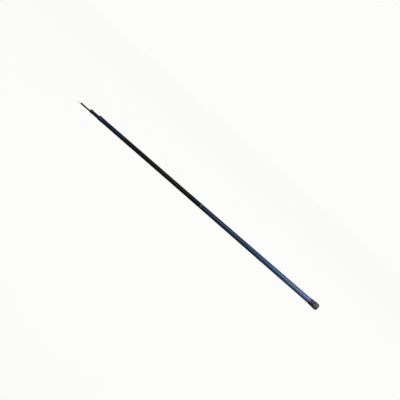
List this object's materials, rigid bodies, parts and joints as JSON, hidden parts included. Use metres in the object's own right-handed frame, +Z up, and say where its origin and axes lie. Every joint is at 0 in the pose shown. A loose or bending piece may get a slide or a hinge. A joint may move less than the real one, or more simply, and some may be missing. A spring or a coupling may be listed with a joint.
{
  "type": "telescopic pole rod",
  "caption": "Telescopic fishing pole with a fluted screw cap at its butt and a knotted braid at its tip, shown closed with its sections nested.",
  "frame": {"origin": "centre of the flat end face of the screw cap, on the pole's axis", "axes": "+X out of the butt end along the pole's axis, so the tip points along -X; +Z up, with the closed pole lying level on its side"},
  "size_m": [1.1484, 0.0264, 0.0264],
  "materials": {
    "blue_lacquer": "gloss",
    "navy_winding": "gloss",
    "ferrule_moulding": "satin",
    "cap_moulding": "satin",
    "seal_rubber": "matte",
    "pad_rubber": "matte",
    "blue_black_lacquer": "gloss",
    "blue_black_winding": "gloss",
    "black_lacquer": "gloss",
    "black_winding": "gloss",
    "dark_glass_fibre": "gloss",
    "shrunk_sleeve": "satin",
    "grey_braid": "matte"
  },
  "bodies": {
    "butt": {"butt_tube": "blue_lacquer", "butt_mouth_band": "navy_winding", "butt_ferrule": "ferrule_moulding"},
    "cap_carrier": {"cap_seal": "seal_rubber"},
    "cap": {"screw_cap": "cap_moulding", "cap_pad": "pad_rubber"},
    "section_2": {"section_2_tube": "blue_black_lacquer", "section_2_mouth_band": "blue_black_winding"},
    "section_3": {"section_3_tube": "black_lacquer", "section_3_mouth_band": "black_winding"},
    "tip": {"tip_section": "dark_glass_fibre", "tip_sleeve": "shrunk_sleeve", "tip_braid": "grey_braid"}
  },
  "joints": [
    {"name": "cap_travel", "type": "slide", "parent": "butt", "child": "cap_carrier", "axis": [1, 0, 0], "range_m": [0, 0.00675]},
    {"name": "cap_turn", "type": "hinge", "parent": "cap_carrier", "child": "cap", "pos_m": [0, 0, 0], "axis": [1, 0, 0], "range_deg": [0, 1620]},
    {"name": "section_2_slide", "type": "slide", "parent": "butt", "child": "section_2", "axis": [-1, 0, 0.0012], "range_m": [0, 0.9067]},
    {"name": "section_3_slide", "type": "slide", "parent": "section_2", "child": "section_3", "axis": [-1, 0, 0.0012], "range_m": [0, 0.9564]},
    {"name": "tip_slide", "type": "slide", "parent": "section_3", "child": "tip", "axis": [-1, 0, 0.0001], "range_m": [0, 1.0089]}
  ],
  "couplings": [
    {"joint": "cap_travel", "follows": "cap_turn", "m_per_rad": 0.0002387}
  ]
}
